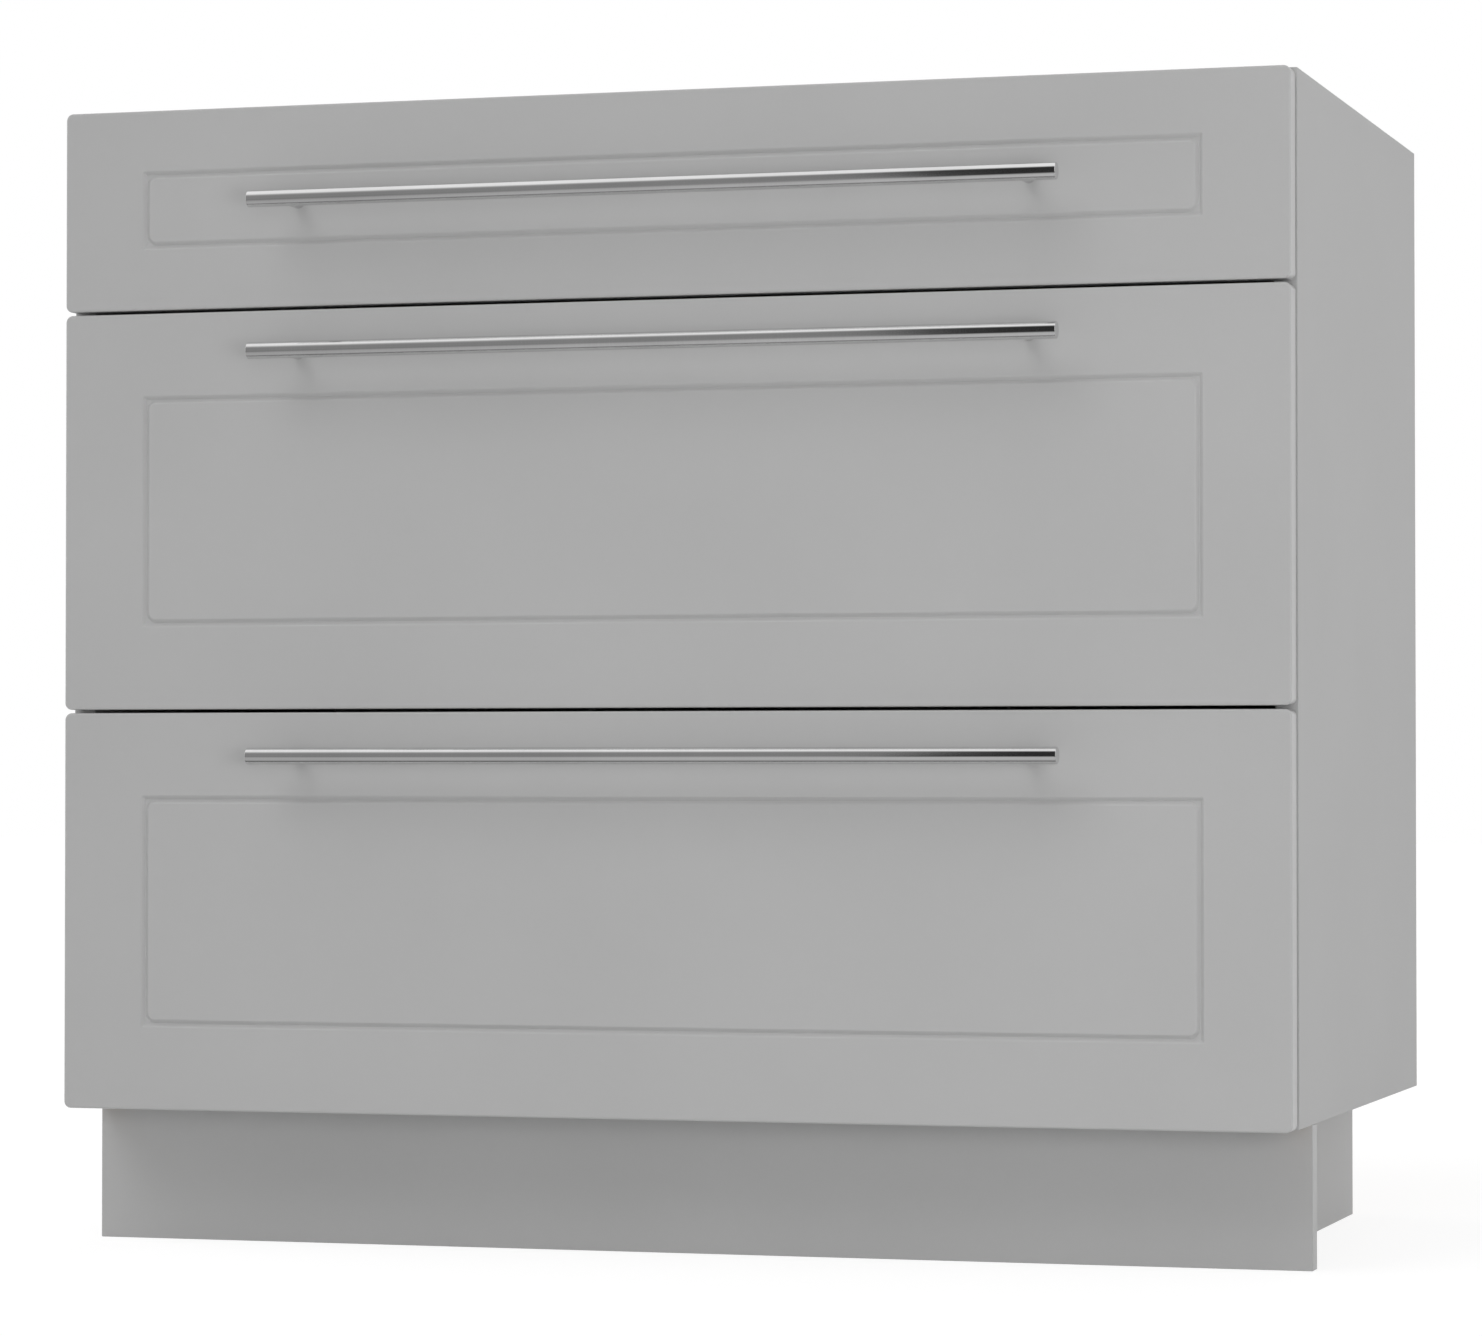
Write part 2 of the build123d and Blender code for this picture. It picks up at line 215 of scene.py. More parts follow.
def steel(name, level, gloss, grain, tint=(0, 0, 0), clouds=8.0, depth=0.000004):
    """Metal with a directional grain and faint clouds in its gloss."""
    finish = Finish(name, Metallic=1.0)
    lines = finish.noise(1.0, detail=3.0, stretch=grain)
    patches = finish.noise(clouds, detail=3.0)
    tone = finish.blended(lines, patches, 0.5)
    low = colour(*[level - METAL_SPREAD + part for part in tint])
    high = colour(*[level + METAL_SPREAD + part for part in tint])
    finish.paint("Base Color", finish.ramp(tone, (0.3, low), (0.7, high)))
    finish.paint("Roughness", finish.between(tone, *gloss))
    finish.relief(lines, depth, 0.5)
    return finish.material


def pad_rubber(name):
    """Soft grey pad with a dusty skin."""
    finish = Finish(name, Specular_IOR_Level=0.4, Subsurface_Weight=0.2, Subsurface_Radius=(0.001,) * 3)
    dust = finish.noise(700.0, detail=3.0)
    finish.paint("Base Color", finish.ramp(dust, (0.3, colour(188, 188, 184)), (0.7, colour(214, 214, 210))))
    finish.paint("Roughness", finish.between(dust, 0.5, 0.75))
    finish.relief(dust, 0.00005)
    return finish.material


FACE_LEVEL = 172
front_foil = coated("front_foil", FACE_LEVEL, grain=1800.0, depth=0.00002, gloss=(0.3, 0.38), shine=0.8)
melamine = coated("melamine", FACE_LEVEL)
edge_band = coated("edge_band", FACE_LEVEL + 1, grain=700.0, depth=0.00002, gloss=(0.36, 0.46))
# The plinth's melamine is the same grey painted a level darker: painted shade.
plinth_melamine_painted_shade = coated("plinth_melamine_painted_shade", FACE_LEVEL - 1)
# The base's melamine is the same grey painted six levels lighter: painted light.
base_melamine_painted_light = coated("base_melamine_painted_light", FACE_LEVEL + 6)
box_melamine = coated("box_melamine", 196)
box_band = coated("box_band", 198, grain=700.0, depth=0.00002, gloss=(0.36, 0.46))
lacquer = coated("hardboard_lacquer", 190, grain=500.0, gloss=(0.34, 0.5))
raw_edge = chipboard("chipboard_edge")
raw_fibre = fibreboard("hardboard_rear")
bar_steel = steel("satin_stainless", 221, (0.05, 0.12), (6000, 40, 40), clouds=20.0)
post_steel = steel("turned_stainless", 216, (0.14, 0.26), (60, 5000, 60), clouds=40.0)
screw_zinc = steel("screw_zinc", 205, (0.24, 0.4), (900, 900, 900), tint=(0, 0, -3), clouds=300.0)
rail_zinc = steel("rail_zinc", 204, (0.24, 0.42), (300, 14, 300), tint=(-2, 0, 2), clouds=60.0)
cage_zinc = steel("cage_zinc", 188, (0.3, 0.46), (300, 20, 300), tint=(-1, 0, 1), clouds=90.0)
ball_steel = steel("ball_steel", 225, (0.05, 0.12), (400, 400, 400), clouds=200.0)
bracket_zinc = steel("bracket_zinc", 196, (0.3, 0.5), (120, 120, 120), tint=(-2, 0, 2), clouds=70.0)
soft_pad = pad_rubber("bumper_rubber")


# ---------------------------------------------------------------- mesh helpers
def add_piece(name, shape, body, materials, replaced=(), sharp=38.0):
    """Finished mesh as a piece that rides on a body and may stand for CAD nodes."""
    mesh = bpy.data.meshes.new(name)
    shape.to_mesh(mesh)
    shape.free()
    for material in materials:
        mesh.materials.append(material)
    mesh.polygons.foreach_set("use_smooth", [True] * len(mesh.polygons))
    mesh.set_sharp_from_angle(angle=math.radians(sharp))
    piece = bpy.data.objects.new(name, mesh)
    collection.objects.link(piece)
    weights = piece.modifiers.new("weighted_normals", "WEIGHTED_NORMAL")
    weights.keep_sharp = True
    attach(piece, body)
    if replaced:
        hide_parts(*replaced)
    return piece


def rounded_path(corners, radius, steps=4):
    """Points of an open path in a plane whose inner corners are arcs."""
    points = [Vector(corners[0])]
    for start, corner, end in zip(corners, corners[1:], corners[2:]):
        middle = Vector(corner)
        before = (Vector(start) - middle).normalized()
        after = (Vector(end) - middle).normalized()
        half = before.angle(after) / 2
        centre = middle + (before + after).normalized() * (radius / math.sin(half))
        spoke = middle + before * (radius / math.tan(half)) - centre
        sweep = math.copysign(math.pi - 2 * half, before.angle_signed(after))
        for step in range(steps + 1):
            angle = sweep * step / steps
            spun = Vector((spoke.x * math.cos(angle) - spoke.y * math.sin(angle),
                           spoke.x * math.sin(angle) + spoke.y * math.cos(angle)))
            points.append(centre + spun)
    return points + [Vector(corners[-1])]


def stitch(shape, rings):
    """Quads between neighbouring rings of as many points each; returns the rings' vertices."""
    made = [[shape.verts.new(point) for point in ring] for ring in rings]
    for lower, upper in zip(made, made[1:]):
        for index in range(len(lower)):
            after = (index + 1) % len(lower)
            shape.faces.new((lower[index], lower[after], upper[after], upper[index]))
    return made


def face_outwards(shape):
    """Make every shell's faces point out of it."""
    bmesh.ops.recalc_face_normals(shape, faces=shape.faces)


def circle(place, radius, along, segments):
    """Points of a circle round a matrix's Z axis."""
    turns = [2 * math.pi * step / segments for step in range(segments)]
    return [place @ Vector((radius * math.cos(turn), radius * math.sin(turn), along)) for turn in turns]


def lathe(profile, place, segments=48):
    """Closed turned body: (distance along the axis, radius) pairs."""
    shape = bmesh.new()
    made = stitch(shape, [circle(place, radius, along, segments) for along, radius in profile])
    shape.faces.new(made[0])
    shape.faces.new(made[-1])
    face_outwards(shape)
    return shape


def merged(shapes):
    """One mesh of several."""
    whole = bmesh.new()
    for shape in shapes:
        mesh = bpy.data.meshes.new("part")
        shape.to_mesh(mesh)
        shape.free()
        whole.from_mesh(mesh)
        bpy.data.meshes.remove(mesh)
    return whole


def placed(origin, outward):
    """Matrix that puts local Z along a direction at a point."""
    turn = Vector(outward).to_track_quat("Z", "Y").to_matrix().to_4x4()
    return Matrix.Translation(origin) @ turn


# ---------------------------------------------------------------- screws
SCREW_SEGMENTS = 24
RIM_HEIGHT = 0.35  # of the head's height
DOME_DEGREES = (30, 60, 85)
CROSS_ARM = 0.62  # of the head's radius
CROSS_HALF = 0.13  # of the head's radius
CROSS_TAPER = 0.6
CROSS_DEPTH = 0.6  # of the head's height


def screw_head(origin, outward, radius, height):
    """Low round head with a cross recess."""
    place = placed(origin, outward)
    shape = bmesh.new()
    dome = 1 - RIM_HEIGHT
    arc = [(radius, 0.0), (radius, height * RIM_HEIGHT)]
    arc += [(radius - height * dome * (1 - math.cos(angle)), height * (RIM_HEIGHT + dome * math.sin(angle)))
            for angle in map(math.radians, DOME_DEGREES)]
    made = stitch(shape, [circle(place, wide, along, SCREW_SEGMENTS) for wide, along in arc])
    shape.faces.new(made[0])
    top = arc[-1][1]
    arm, half = radius * CROSS_ARM, radius * CROSS_HALF
    cross = [(arm, -half), (arm, half), (half, half), (half, arm), (-half, arm), (-half, half),
             (-arm, half), (-arm, -half), (-half, -half), (-half, -arm), (half, -arm), (half, -half)]
    mouth = [shape.verts.new(place @ Vector((x, y, top))) for x, y in cross]
    floor = [shape.verts.new(place @ Vector((x * CROSS_TAPER, y * CROSS_TAPER, top - height * CROSS_DEPTH)))
             for x, y in cross]
    rim = made[-1]
    edges = [shape.edges.get((rim[k], rim[(k + 1) % SCREW_SEGMENTS])) for k in range(SCREW_SEGMENTS)]
    edges += [shape.edges.new((mouth[k], mouth[(k + 1) % len(cross)])) for k in range(len(cross))]
    bmesh.ops.triangle_fill(shape, use_beauty=True, use_dissolve=False, edges=edges)
    for k in range(len(cross)):
        after = (k + 1) % len(cross)
        shape.faces.new((mouth[k], mouth[after], floor[after], floor[k]))
    shape.faces.new(floor)
    face_outwards(shape)
    return shape


# ---------------------------------------------------------------- boards
AXES = {"x": 0, "y": 1, "z": 2}


def softened(node, width, rules):
    """Copy of a node's mesh with its outer edges eased; rules give the faces' materials."""
    shape = bmesh.new()
    shape.from_mesh(nodes[node].data)
    bmesh.ops.remove_doubles(shape, verts=shape.verts, dist=0.000001)
    bmesh.ops.dissolve_limit(shape, angle_limit=math.radians(1), verts=shape.verts, edges=shape.edges)
    for face in shape.faces:
        face.material_index = 0
        for index, directions in rules.items():
            for direction in directions:
                sign = 1 if direction[0] == "+" else -1
                if face.normal[AXES[direction[1]]] * sign > 0.9:
                    face.material_index = index
    edges = [edge for edge in shape.edges
             if edge.is_manifold and edge.is_convex and edge.calc_face_angle() > math.radians(45)]
    bmesh.ops.bevel(shape, geom=edges, offset=width, segments=2, profile=0.5,
                    affect="EDGES", clamp_overlap=True)
    return shape


BAND_EASE = 0.5 * MM
RAW_EASE = 0.25 * MM
PAD_EASE = 0.6 * MM
STEEL_EASE = 0.5 * MM


def add_board(node, body, materials, rules, ease=BAND_EASE):
    """Board with eased edges, its banded and its sawn edges each in their own material."""
    shape = softened(node, ease, rules)
    add_piece(node + ".finished", shape, body, materials, (node,))


carcass_set = (melamine, edge_band, raw_edge)
for side in ("left", "right"):
    add_board("side_panel_" + side, "carcass", carcass_set,
              {1: ("-y",), 2: ("+y", "+z", "-z")})
    add_board("base_side_" + side, "carcass", (base_melamine_painted_light, edge_band, raw_edge),
              {2: ("+y", "-y", "+z", "-z")})
add_board("bottom_panel", "carcass", carcass_set, {1: ("-y",), 2: ("+y", "+x", "-x")})
for rail in ("front", "rear"):
    add_board("top_rail_" + rail, "carcass", carcass_set,
              {1: ("-y",), 2: ("+y", "+x", "-x")})
add_board("plinth_board", "carcass", (plinth_melamine_painted_shade, edge_band, raw_edge),
          {1: ("+x", "-x"), 2: ("+z", "-z")})
add_board("base_rear_rail", "carcass", (base_melamine_painted_light, edge_band, raw_edge),
          {2: ("+z", "-z", "+x", "-x")})
add_board("back_panel", "carcass", (lacquer, raw_fibre),
          {1: ("+y", "+x", "-x", "+z", "-z")}, RAW_EASE)
add_board("bumpers", "carcass", (soft_pad,), {}, PAD_EASE)
add_board("corner_brackets", "carcass", (bracket_zinc,), {}, STEEL_EASE)

box_set = (box_melamine, box_band, raw_edge)
for drawer in DRAWERS:
    body = "drawer_" + drawer
    for side in ("left", "right"):
        add_board(f"box_side_{side}_{drawer}", body, box_set,
                  {1: ("+z",), 2: ("-z", "+y", "-y")})
    for end in ("front", "back"):
        add_board(f"box_{end}_{drawer}", body, box_set, {1: ("+z",), 2: ("-z",)})
    add_board("box_bottom_" + drawer, body, (lacquer, raw_fibre),
              {1: ("-z", "+x", "-x", "+y", "-y")}, RAW_EASE)


# ---------------------------------------------------------------- drawer fronts
FRONT_CORNER = 5 * MM
FACE_ROUND = 1.5 * MM
BACK_ROUND = 0.5 * MM
STILE = 63 * MM
TALL_RAIL = 62 * MM
LOW_RAIL = 46.5 * MM
GROOVE_HALF = 3.5 * MM
GROOVE_DEPTH = 2.3 * MM
GROOVE_SLOPE = 45  # degrees of its walls
LIP_ROUND = 2 * MM
FLOOR_ROUND = 0.3 * MM
FRAME_CORNER = 2.5 * MM  # of the frame's opening, at the face
FIELD_CORNER = 4 * MM
CORNER_STEPS = 10
BACK_STEPS = 4
FACE_STEPS = 8
FLOOR_STEPS = 3
LIP_STEPS = 8
LEAST_RADIUS = 0.3 * MM
GAP_EASE = 0.3 * MM  # by which a front's edge reaches into a gap between two fronts


def rectangle_ring(centre_z, half_width, half_height, radius, y):
    """Upright rectangle with rounded corners, at a depth."""
    points = []
    for quarter, (sx, sz) in enumerate(((1, 1), (-1, 1), (-1, -1), (1, -1))):
        for step in range(CORNER_STEPS + 1):
            angle = math.pi / 2 * (quarter + step / CORNER_STEPS)
            x = sx * (half_width - radius) + radius * math.cos(angle)
            z = sz * (half_height - radius) + radius * math.sin(angle)
            points.append((x, y, centre_z + z))
    return points


def groove_section():
    """Half of the routed line's section, from its middle out: (distance, depth) pairs."""
    slope = math.radians(GROOVE_SLOPE)
    lip_x = GROOVE_HALF - LIP_ROUND * math.sin(slope)
    lip_depth = LIP_ROUND * (1 - math.cos(slope))
    foot = lip_x - (GROOVE_DEPTH - lip_depth) / math.tan(slope)
    start = foot - FLOOR_ROUND * math.tan(slope / 2)
    section = [(start / 2, GROOVE_DEPTH)]
    for step in range(FLOOR_STEPS + 1):
        angle = slope * step / FLOOR_STEPS
        section.append((start + FLOOR_ROUND * math.sin(angle),
                        GROOVE_DEPTH - FLOOR_ROUND * (1 - math.cos(angle))))
    for step in range(LIP_STEPS + 1):
        angle = slope * (1 - step / LIP_STEPS)
        section.append((GROOVE_HALF - LIP_ROUND * math.sin(angle), LIP_ROUND * (1 - math.cos(angle))))
    return section + [(2 * GROOVE_HALF, 0)]


def front_shape(node, rail_width, ease_below, ease_above):
    """Drawer front: rounded face edge and corners, and the routed line round its field."""
    low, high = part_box(node)
    half_width = (high.x - low.x) / 2
    face_y, back_y = low.y, high.y
    rings = []

    def ring(bottom, top, inset, radius, y):
        rings.append(rectangle_ring((bottom + top) / 2, half_width - inset,
                                    (top - bottom) / 2 - inset, max(radius, LEAST_RADIUS), y))

    def outline(inset, y):
        ring(low.z - ease_below, high.z + ease_above, inset, FRONT_CORNER - inset, y)

    for step in range(BACK_STEPS + 1):
        angle = math.pi / 2 * step / BACK_STEPS
        outline(BACK_ROUND * (1 - math.sin(angle)), back_y - BACK_ROUND * (1 - math.cos(angle)))
    for step in range(FACE_STEPS + 1):
        angle = math.pi / 2 * step / FACE_STEPS
        outline(FACE_ROUND * (1 - math.cos(angle)), face_y + FACE_ROUND * (1 - math.sin(angle)))
    half = groove_section()
    taller = STILE - rail_width
    for spread, depth in half[::-1] + [(-spread, depth) for spread, depth in half]:
        corner = FRAME_CORNER - GROOVE_HALF if spread > 0 else FIELD_CORNER + GROOVE_HALF
        ring(low.z - taller, high.z + taller, STILE - spread, corner + spread, face_y + depth)
    shape = bmesh.new()
    made = stitch(shape, rings)
    shape.faces.new(made[0])
    shape.faces.new(made[-1])
    face_outwards(shape)
    return shape


FRONTS = {  # the field's distance from the top and the bottom edge, reach downwards and upwards
    "upper": (LOW_RAIL, GAP_EASE, 0),
    "middle": (TALL_RAIL, GAP_EASE, GAP_EASE),
    "lower": (TALL_RAIL, 0, GAP_EASE),
}
for drawer, values in FRONTS.items():
    node = "drawer_front_" + drawer
    add_piece(node + ".finished", front_shape(node, *values), "drawer_" + drawer,
              (front_foil,), (node,), sharp=60.0)


# ---------------------------------------------------------------- handles
BAR_CHAMFER = 0.5 * MM
POST_CHAMFER = 0.4 * MM
HANDLE_HEAD = (4 * MM, 2.5 * MM)  # radius and height of the screws' heads
BAR_SEGMENTS = 96


def turned(length, radius, chamfer):
    """Profile of a round bar with small chamfers."""
    return [(0, radius - chamfer), (chamfer * 0.4, radius - chamfer * 0.4), (chamfer, radius),
            (length - chamfer, radius), (length - chamfer * 0.4, radius - chamfer * 0.4),
            (length, radius - chamfer)]


def handle(drawer):
    """Bar, posts and screws of a drawer's handle."""
    body = "drawer_" + drawer
    low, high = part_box("handle_bar_" + drawer)
    radius = (high.z - low.z) / 2
    axis_y, axis_z = (low.y + high.y) / 2, (low.z + high.z) / 2
    bar = lathe(turned(high.x - low.x, radius, BAR_CHAMFER),
                placed((low.x, axis_y, axis_z), (1, 0, 0)), BAR_SEGMENTS)
    add_piece(f"handle_bar_{drawer}.finished", bar, body, (bar_steel,),
              ("handle_bar_" + drawer,))
    low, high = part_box("handle_posts_" + drawer)
    post_radius = (high.z - low.z) / 2
    places = [side * (high.x - post_radius) for side in SIDES]
    profile = turned(high.y - low.y, post_radius, POST_CHAMFER)
    posts = [lathe(profile, placed((x, low.y, axis_z), (0, 1, 0))) for x in places]
    add_piece(f"handle_posts_{drawer}.finished", merged(posts), body, (post_steel,),
              ("handle_posts_" + drawer,))
    back_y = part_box("drawer_front_" + drawer)[1].y
    heads = [screw_head((x, back_y, axis_z), (0, 1, 0), *HANDLE_HEAD) for x in places]
    add_piece(f"handle_screws_{drawer}.finished", merged(heads), body, (screw_zinc,),
              ("handle_screws_" + drawer,))


for drawer in DRAWERS:
    handle(drawer)


# ---------------------------------------------------------------- telescopic slides
INSIDE_X = 434 * MM
SLIDE_Z = {"upper": 748 * MM, "middle": 460 * MM, "lower": 172 * MM}
RAIL_SHEET = 1.2 * MM
RAIL_FOLD = 0.9 * MM  # radius of the sheet's middle line in a fold
CAGE_SHEET = 0.8 * MM
CAGE_FOLD = 0.6 * MM
LIP = 1.8 * MM
BALL_RADIUS = 1.7 * MM
BALL_PITCH = 23.0 * MM


def folded(side, centre_z, corners, gauge, fold, y0, y1):
    """Sheet folded along a path of (distance from the side panel, height), as long as y0 to y1."""
    path = rounded_path(corners, fold)
    outer, inner = [], []
    for index, point in enumerate(path):
        before = path[max(index - 1, 0)]
        after = path[min(index + 1, len(path) - 1)]
        along = (after - before).normalized()
        across = Vector((-along.y, along.x)) * gauge / 2
        outer.append(point + across)
        inner.append(point - across)
    outline = outer + inner[::-1]
    shape = bmesh.new()
    rings = [[(side * (INSIDE_X - u), y, centre_z + v) for u, v in outline] for y in (y0, y1)]
    made = stitch(shape, rings)
    count = len(outline)
    for ring in made:
        for index in range(len(path) - 1):
            twin = count - 1 - index
            shape.faces.new((ring[index], ring[index + 1], ring[twin - 1], ring[twin]))
    face_outwards(shape)
    return shape


def channel_corners(web, end, height, gauge, lip):
    """Middle line of a channel's section, from one lip to the other."""
    half = (height - gauge) / 2
    if lip:
        arm = [(end - gauge / 2, half - lip), (end - gauge / 2, half), (web, half)]
    else:
        arm = [(end, half), (web, half)]
    return arm + [(u, -v) for u, v in reversed(arm)]


CHANNELS = {  # node: web's middle, flange end, height, gauge, lip, body
    "outer_rails": (0.6 * MM, 11.4 * MM, 45.0 * MM, RAIL_SHEET, LIP, "carcass"),
    "centre_rails": (3.4 * MM, 11.4 * MM, 35.4 * MM, RAIL_SHEET, LIP, "centre_rails_{}"),
    "inner_rails": (12.4 * MM, 5.6 * MM, 25.8 * MM, RAIL_SHEET, 0, "drawer_{}"),
    "outer_ball_cages": (2.0 * MM, 9.0 * MM, 39.8 * MM, CAGE_SHEET, 0, "outer_cages_{}"),
    "inner_ball_cages": (4.8 * MM, 9.0 * MM, 30.2 * MM, CAGE_SHEET, 0, "inner_cages_{}"),
}
BALL_ROWS = {  # cage: the balls' distance from the side panel, and from the slide's axis
    "outer_ball_cages": (5.8 * MM, 19.5 * MM),
    "inner_ball_cages": (7.2 * MM, 14.7 * MM),
}
CAGE_MARGIN = 6 * MM
STOP_REACH = 9 * MM
STOP_HALF = 6 * MM
STOP_EASE = 0.25 * MM
RAIL_SCREWS = (35, 227, 389)  # millimetres behind the rail's front end
RAIL_HEAD = (3.4 * MM, 1.4 * MM)
RAIL_HEAD_SEAT = 11.8 * MM


def plate(side, u0, u1, y0, y1, z0, z1):
    """Small flat tab with eased edges."""
    shape = bmesh.new()
    xs = (side * (INSIDE_X - u0), side * (INSIDE_X - u1))
    centre = Vector((sum(xs) / 2, (y0 + y1) / 2, (z0 + z1) / 2))
    size = Vector((abs(u1 - u0), y1 - y0, z1 - z0))
    bmesh.ops.create_cube(shape, size=1.0, matrix=Matrix.Translation(centre) @ Matrix.Diagonal((*size, 1)))
    bmesh.ops.bevel(shape, geom=shape.edges, offset=STOP_EASE, segments=2, profile=0.5, affect="EDGES")
    return shape


def add_slides(drawer):
    """Rails, ball cages, balls and rail screws of a drawer's two slides."""
    centre_z = SLIDE_Z[drawer]
    for kind, (web, end, height, gauge, lip, body) in CHANNELS.items():
        node = f"{kind}_{drawer}"
        low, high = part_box(node)
        corners = channel_corners(web, end, height, gauge, lip)
        is_cage = kind in BALL_ROWS
        fold = CAGE_FOLD if is_cage else RAIL_FOLD
        shapes = [folded(side, centre_z, corners, gauge, fold, low.y, high.y) for side in SIDES]
        if kind == "outer_rails":
            shapes += [plate(side, RAIL_SHEET, STOP_REACH, high.y - RAIL_SHEET, high.y,
                             centre_z - STOP_HALF, centre_z + STOP_HALF) for side in SIDES]
        body = body.format(drawer)
        slot, material = ("cage_steel", cage_zinc) if is_cage else ("slide_steel", rail_zinc)
        add_piece(node + ".finished", merged(shapes), body, (material,), (node,))
        if is_cage:
            add_balls(kind, drawer, body, centre_z, low.y, high.y)
    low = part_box("inner_rails_" + drawer)[0]
    screws = [screw_head((side * (INSIDE_X - RAIL_HEAD_SEAT), low.y + offset * MM, centre_z),
                         (side, 0, 0), *RAIL_HEAD) for side in SIDES for offset in RAIL_SCREWS]
    add_piece(f"rail_screws_{drawer}", merged(screws), "drawer_" + drawer, (screw_zinc,))


def add_balls(kind, drawer, body, centre_z, y0, y1):
    """Balls of one cage, in two rows on each side of the drawer."""
    row_u, row_v = BALL_ROWS[kind]
    count = int((y1 - y0 - 2 * CAGE_MARGIN) / BALL_PITCH) + 1
    first = (y0 + y1) / 2 - (count - 1) * BALL_PITCH / 2
    shape = bmesh.new()
    for side in SIDES:
        for row in SIDES:
            for index in range(count):
                place = (side * (INSIDE_X - row_u), first + index * BALL_PITCH, centre_z + row * row_v)
                bmesh.ops.create_icosphere(shape, subdivisions=2, radius=BALL_RADIUS,
                                           matrix=Matrix.Translation(place))
    name = f"{kind.replace('ball_cages', 'balls')}_{drawer}"
    add_piece(name, shape, body, (ball_steel,), sharp=80.0)


for drawer in DRAWERS:
    add_slides(drawer)


# ---------------------------------------------------------------- small fasteners
FRONT_SCREWS = (190, 360)  # millimetres from the middle
FRONT_SCREW_DROP = 22 * MM  # below the box front's top edge
FRONT_SCREW_RISE = 25 * MM
FRONT_HEAD = (3.6 * MM, 1.8 * MM)


def add_box_screws(drawer):
    """Screws from inside the box into the drawer front."""
    low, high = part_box("box_front_" + drawer)
    heights = (low.z + FRONT_SCREW_RISE, high.z - FRONT_SCREW_DROP)
    screws = [screw_head((side * across * MM, high.y, z), (0, 1, 0), *FRONT_HEAD)
              for side in SIDES for across in FRONT_SCREWS for z in heights]
    add_piece(f"front_screws_{drawer}", merged(screws), "drawer_" + drawer, (screw_zinc,))


for drawer in DRAWERS:
    add_box_screws(drawer)


# ---------------------------------------------------------------- studio
def add_plane(name, corners, material):
    """Flat piece of the studio."""
    mesh = bpy.data.meshes.new(name)
    mesh.from_pydata(corners, [], [(0, 1, 2, 3)])
    mesh.materials.append(material)
    plane = bpy.data.objects.new(name, mesh)
    collection.objects.link(plane)
    return plane


def seen_directly(made):
    """1 for camera, glossy and transmission rays."""
    path = made.node("ShaderNodeLightPath").outputs
    seen = made.combined("MAXIMUM", path["Is Camera Ray"], path["Is Glossy Ray"])
    return made.combined("MAXIMUM", seen, path["Is Transmission Ray"])


FLOOR_HALF = 20.0
FLOOR_GLOW = 0.84  # plain white in what is seen directly of the floor; its lit share keeps the shadow
FLOOR_LIT = 0.22
FLOOR_PALE = 0.92
floor_material = bpy.data.materials.new("studio_floor")
floor_tree = Tree(floor_material)
glow = floor_tree.node("ShaderNodeEmission", {"Strength": FLOOR_GLOW})
lit = floor_tree.node("ShaderNodeBsdfDiffuse", {"Color": (FLOOR_LIT,) * 3 + (1,)})
seen = floor_tree.node("ShaderNodeAddShader", {0: glow.outputs[0], 1: lit.outputs[0]})
pale = floor_tree.node("ShaderNodeBsdfDiffuse", {"Color": (FLOOR_PALE,) * 3 + (1,)})
mix = floor_tree.node("ShaderNodeMixShader", {0: seen_directly(floor_tree), 1: pale.outputs[0],
                                              2: seen.outputs[0]})
floor_tree.node("ShaderNodeOutputMaterial", {"Surface": mix.outputs[0]})
add_plane("studio_floor", [(-FLOOR_HALF, -FLOOR_HALF, 0), (FLOOR_HALF, -FLOOR_HALF, 0),
                           (FLOOR_HALF, FLOOR_HALF, 0), (-FLOOR_HALF, FLOOR_HALF, 0)], floor_material)

AMBIENT = 0.48
world = bpy.data.worlds.new("studio")
bpy.context.scene.world = world
world_tree = Tree(world)
ambient = world_tree.node("ShaderNodeBackground", {"Color": (1, 1, 1, 1), "Strength": AMBIENT})
backdrop = world_tree.node("ShaderNodeBackground", {"Color": (1, 1, 1, 1)})
mix = world_tree.node("ShaderNodeMixShader", {0: seen_directly(world_tree), 1: ambient.outputs[0],
                                              2: backdrop.outputs[0]})
world_tree.node("ShaderNodeOutputWorld", {"Surface": mix.outputs[0]})


def add_light(name, data, turn, place=(0, 0, 0)):
    """Light that only lights, and isn't seen itself."""
    light = bpy.data.objects.new(name, data)
    light.location = place
    light.rotation_euler = turn.to_euler()
    light.visible_camera = False
    light.visible_glossy = False
    collection.objects.link(light)


LAMP_PLACE = (1.3, -2.2, 0.35)
LAMP_TARGET = (0.3, -0.24, 0.3)
lamp_data = bpy.data.lights.new("near_right", "AREA")
lamp_data.shape = "RECTANGLE"
lamp_data.size, lamp_data.size_y = 1.0, 0.5
lamp_data.energy = 10.4
lamp_aim = Vector(LAMP_TARGET) - Vector(LAMP_PLACE)
add_light("near_right", lamp_data, lamp_aim.to_track_quat("-Z", "Y"), LAMP_PLACE)

SUN_SPREAD = 30.0  # degrees
SUNS = {  # degrees above the floor, degrees to the right of straight ahead, share of the light
    "key": (47, -32, 0.21),
    "top": (60, 0, 0.065),
    "fill": (5, 22, 0.10),
    "side": (47, 70, 0.01),
    "low_side": (5, 90, 0.055),
    "left": (12, -112, 0.22),
    "back": (15, 180, 0.3),
}
for name, (rise, turn, share) in SUNS.items():
    data = bpy.data.lights.new(name, "SUN")
    data.angle = math.radians(SUN_SPREAD)
    data.energy = share * math.pi
    rise, turn = math.radians(rise), math.radians(turn)
    toward = Vector((math.cos(rise) * math.sin(turn), -math.cos(rise) * math.cos(turn), math.sin(rise)))
    add_light(name, data, toward.to_track_quat("Z", "Y"))


FAN_CENTRE = (0.0, -0.272, 0.6)  # in the middle of the three bars
FAN_LEAN = 0.322  # metres to the left for a metre of distance
FAN_SPREAD = 0.302  # metres wider for a metre of distance


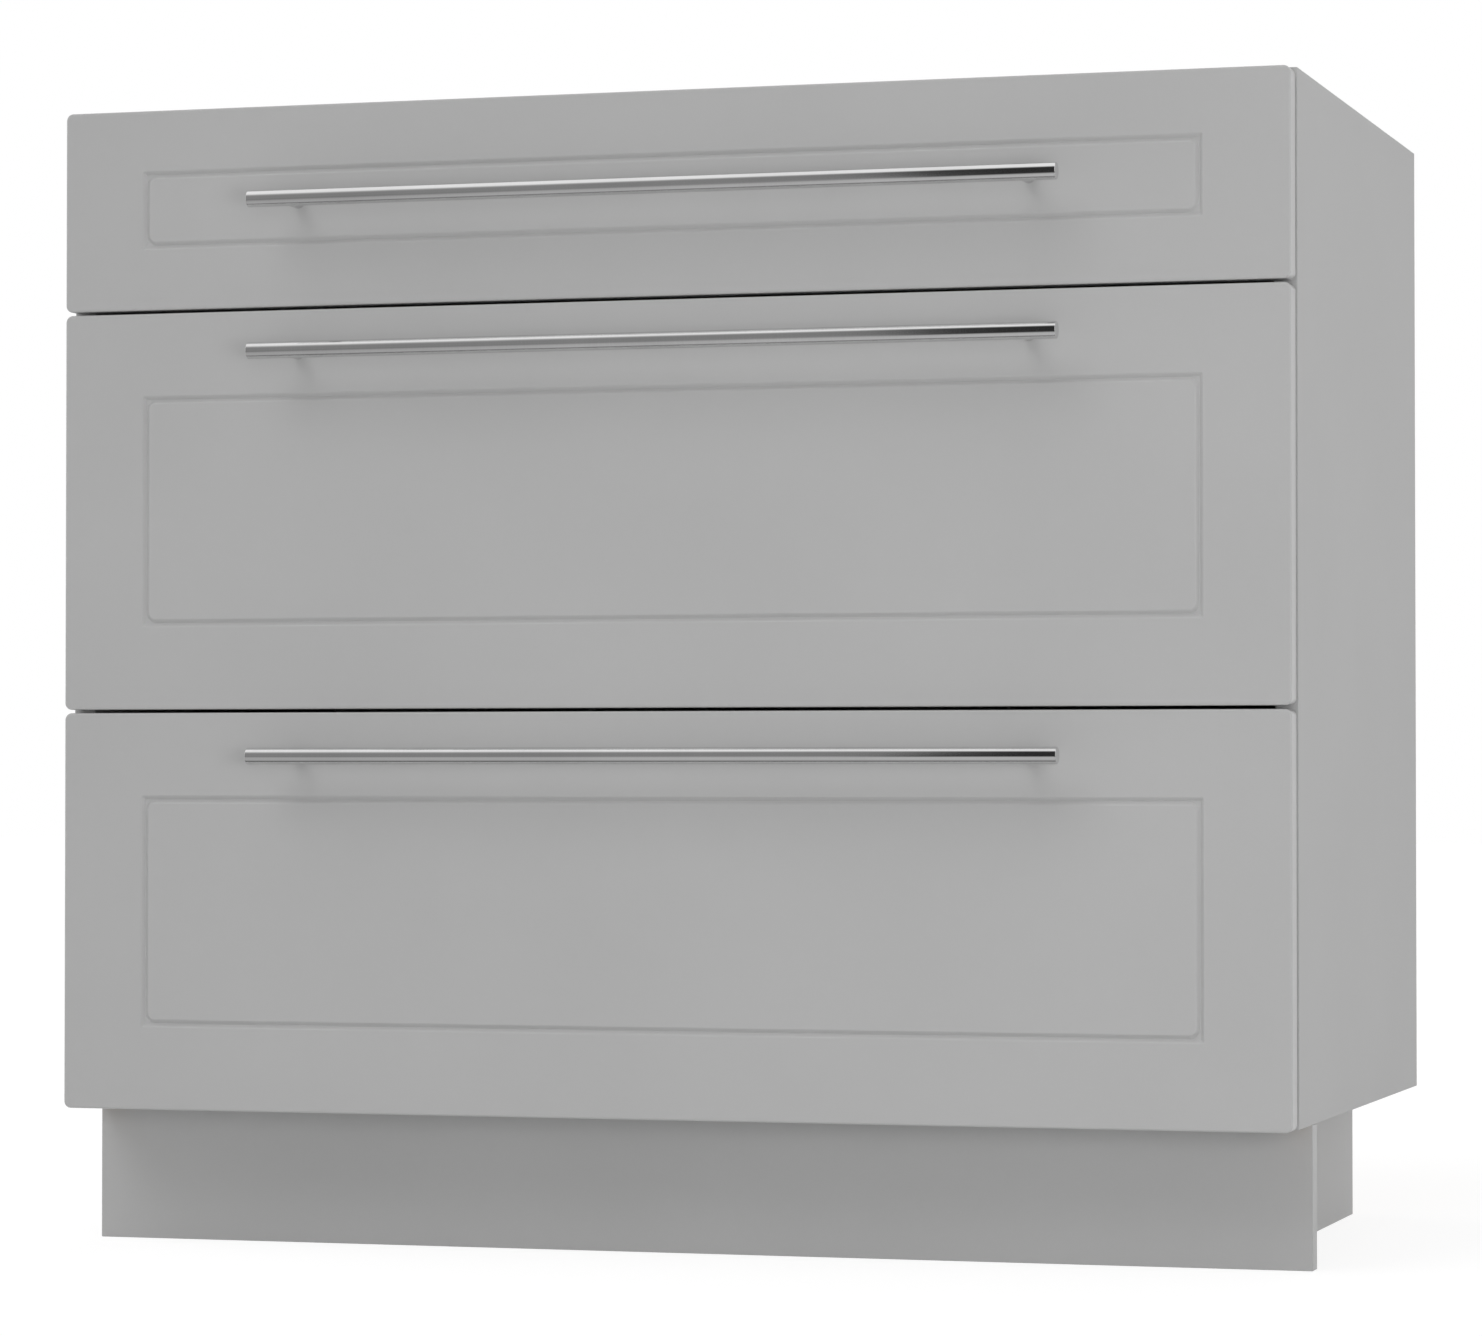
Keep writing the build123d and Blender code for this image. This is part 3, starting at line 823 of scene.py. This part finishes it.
def across_fan(made, place, x):
    """Place across the lines that fan out from the handles over the cards, from left to right."""
    section = made.node("ShaderNodeVectorMath", {0: place, 1: (0, 1, 1)}, operation="MULTIPLY")
    inputs = {0: section.outputs[0], 1: FAN_CENTRE}
    reach = made.node("ShaderNodeVectorMath", inputs, operation="DISTANCE").outputs["Value"]
    shifted = made.combined("ADD", x, made.combined("MULTIPLY", reach, FAN_LEAN))
    width = made.combined("ADD", made.combined("MULTIPLY", reach, FAN_SPREAD), 1.0)
    return made.combined("DIVIDE", shifted, width)


def add_card(name, corners, light):
    """Flat glowing card that only reflections show: a painted reflection, as bright as the given pattern
    makes it, and white after a matt bounce.
    """
    material = bpy.data.materials.new(name)
    made = Tree(material)
    place = made.node("ShaderNodeTexCoord").outputs["Object"]
    x, y, z = made.node("ShaderNodeSeparateXYZ", {0: place}).outputs
    matt = made.node("ShaderNodeLightPath").outputs["Diffuse Depth"]
    seen = light(made, y, z, across_fan(made, place, x))
    glow = made.node("ShaderNodeEmission", {"Color": made.combined("MAXIMUM", seen, matt)})
    made.node("ShaderNodeOutputMaterial", {"Surface": glow.outputs[0]})
    card = add_plane(name, corners, material)
    for rays in ("camera", "diffuse", "transmission", "volume_scatter", "shadow"):
        setattr(card, "visible_" + rays, False)


FLAG_Y = -5.3
FLAG_TOP = 11.0
BLACK = 0.1
BLACK_EDGE = (0.165, 0.225)  # across the fan


def flag_light(made, y, z, across):
    """Dark ahead, black to the right, and light overhead."""
    lift = made.span(across, -0.2, 0.25, 0.0, 1.4)
    sky = made.span(made.combined("SUBTRACT", z, lift), 2.8, 11.5, 0.27, 1.0)
    edge = made.span(across, *BLACK_EDGE, 1.0, BLACK)
    black = made.combined("MAXIMUM", edge, made.span(z, 5.0, 9.0, BLACK, 1.0))
    return made.combined("MULTIPLY", sky, black)


def apron_light(made, y, z, across):
    """Grey before the cabinet, darker further off, with a painted shadow of the cabinet at its foot, and
    black far to the right.
    """
    # painted shadow: the floor that the bars reflect goes darker towards the cabinet's foot
    foot = made.span(y, -0.55, -0.28, 1.0, 0.3)
    near = made.combined("MULTIPLY", made.span(y, -2.4, -0.75, 0.27, 0.5), foot)
    grey = made.combined("MULTIPLY", near, made.span(across, -0.3, 0.25, 0.88, 1.1))
    edge = made.span(across, *BLACK_EDGE, 1.0, BLACK)
    black = made.combined("MAXIMUM", edge, made.span(y, -2.2, -1.0, BLACK, 1.0))
    return made.combined("MULTIPLY", grey, black)


add_card("studio_flag", [(-6, FLAG_Y, 0), (6, FLAG_Y, 0), (6, FLAG_Y, FLAG_TOP), (-6, FLAG_Y, FLAG_TOP)],
         flag_light)
add_card("studio_apron", [(-6, FLAG_Y, 0.002), (6, FLAG_Y, 0.002), (6, -0.25, 0.002), (-6, -0.25, 0.002)],
         apron_light)

bpy.context.scene.view_settings.view_transform = "Standard"
